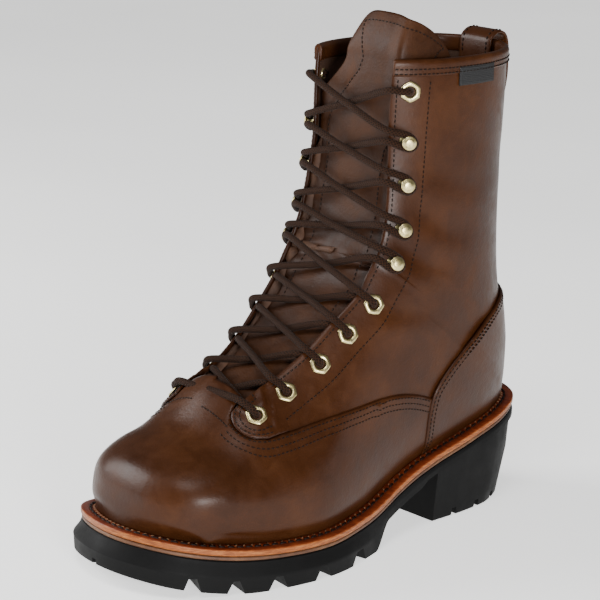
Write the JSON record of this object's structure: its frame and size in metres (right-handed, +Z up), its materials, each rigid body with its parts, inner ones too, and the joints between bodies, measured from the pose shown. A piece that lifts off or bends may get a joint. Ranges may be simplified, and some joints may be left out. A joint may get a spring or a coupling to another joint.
{
  "type": "logger boot",
  "caption": "Left logger boot in waxed brown leather, laced over eyelets and speed hooks, on a welted lugged rubber sole with a tall heel block.",
  "frame": {"origin": "on the floor, at the middle of the heel block's ground face", "axes": "+Z up, -Y towards the toe, +X to the wearer's left, the outer side of this left boot"},
  "size_m": [0.1255, 0.305, 0.2964],
  "materials": {
    "upper_leather": "waxed pull-up, semi-gloss",
    "tongue_leather": "waxed, satin",
    "insole_leather": "matte",
    "welt_leather": "cut edge, satin",
    "midsole_leather": "cut edge, matte",
    "rubber": "matte",
    "brass": "antique, satin",
    "lace_cord": "braided, matte",
    "tag_cloth": "woven, matte"
  },
  "bodies": {
    "root": {"upper": "upper_leather", "tongue": "tongue_leather", "insole": "insole_leather", "welt": "welt_leather", "midsole": "midsole_leather", "outsole": "rubber", "heel": "rubber", "pull_loop": "upper_leather", "side_tag": "tag_cloth", "eyelet_outer_1": "brass", "eyelet_inner_1": "brass", "eyelet_outer_2": "brass", "eyelet_inner_2": "brass", "eyelet_outer_3": "brass", "eyelet_inner_3": "brass", "eyelet_outer_4": "brass", "eyelet_inner_4": "brass", "eyelet_outer_5": "brass", "eyelet_inner_5": "brass", "eyelet_outer_10": "brass", "eyelet_inner_10": "brass", "hook_outer_6": "brass", "hook_inner_6": "brass", "hook_outer_7": "brass", "hook_inner_7": "brass", "hook_outer_8": "brass", "hook_inner_8": "brass", "hook_outer_9": "brass", "hook_inner_9": "brass", "lace_bar": "lace_cord", "lace_crossing_1": "lace_cord", "lace_crossing_2": "lace_cord", "lace_crossing_3": "lace_cord", "lace_crossing_4": "lace_cord", "lace_crossing_5": "lace_cord", "lace_crossing_6": "lace_cord", "lace_crossing_7": "lace_cord", "lace_crossing_8": "lace_cord", "lace_crossing_9": "lace_cord"}
  },
  "joints": []
}
